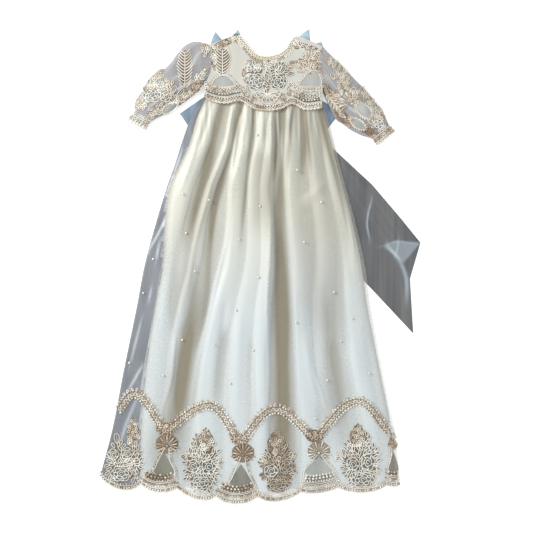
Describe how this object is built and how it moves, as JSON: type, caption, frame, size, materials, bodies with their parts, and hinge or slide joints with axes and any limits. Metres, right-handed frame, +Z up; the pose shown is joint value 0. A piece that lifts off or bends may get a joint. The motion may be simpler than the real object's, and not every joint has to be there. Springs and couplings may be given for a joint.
{
  "type": "baby gown",
  "caption": "Long lace and satin gown for a baby, laid flat: short bodice with corded lace, sheer long sleeves, gathered skirt under a tulle overlay, sash tied behind.",
  "frame": {"origin": "centre of the gown's bounding box in plan, on the surface that it lies on", "axes": "+X to the right as seen from above, +Y from hem to neck, +Z up, away from the surface"},
  "size_m": [0.628, 0.9283, 0.0154],
  "materials": {
    "ivory_satin": "satin",
    "sheer_tulle": "sheer net",
    "grey_tulle": "sheer net with corded leaves",
    "cord_lace": "corded lace",
    "sash_organza": "sheer organza",
    "blue_satin": "satin ribbon"
  },
  "bodies": {
    "root": {"bodice_front": "ivory_satin", "bodice_back_left": "ivory_satin", "bodice_back_right": "ivory_satin", "skirt_lining": "ivory_satin", "skirt_overlay": "sheer_tulle", "sleeve_left": "grey_tulle", "sleeve_right": "grey_tulle", "cuff_left": "cord_lace", "cuff_right": "cord_lace", "neck_trim": "cord_lace", "bodice_edging": "cord_lace", "bodice_lace_centre": "cord_lace", "bodice_leaf_left": "cord_lace", "bodice_leaf_right": "cord_lace", "bodice_fan_left": "cord_lace", "bodice_fan_right": "cord_lace", "hem_garland": "cord_lace", "hem_edging": "cord_lace", "hem_bouquet_1": "cord_lace", "hem_bouquet_2": "cord_lace", "hem_bouquet_3": "cord_lace", "hem_bouquet_4": "cord_lace", "hem_fan_1": "cord_lace", "hem_fan_2": "cord_lace", "hem_fan_3": "cord_lace", "hem_fan_4": "cord_lace", "sash_knot": "sash_organza", "sash_loop_left": "sash_organza", "sash_loop_right": "sash_organza", "sash_tail_left": "sash_organza", "sash_tail_right": "sash_organza", "sash_band_left": "sash_organza", "sash_band_right": "sash_organza", "bow_left_loop_outer": "blue_satin", "bow_left_loop_inner": "blue_satin", "bow_left_knot": "blue_satin", "bow_right_loop_outer": "blue_satin", "bow_right_loop_inner": "blue_satin", "bow_right_knot": "blue_satin"}
  },
  "joints": []
}
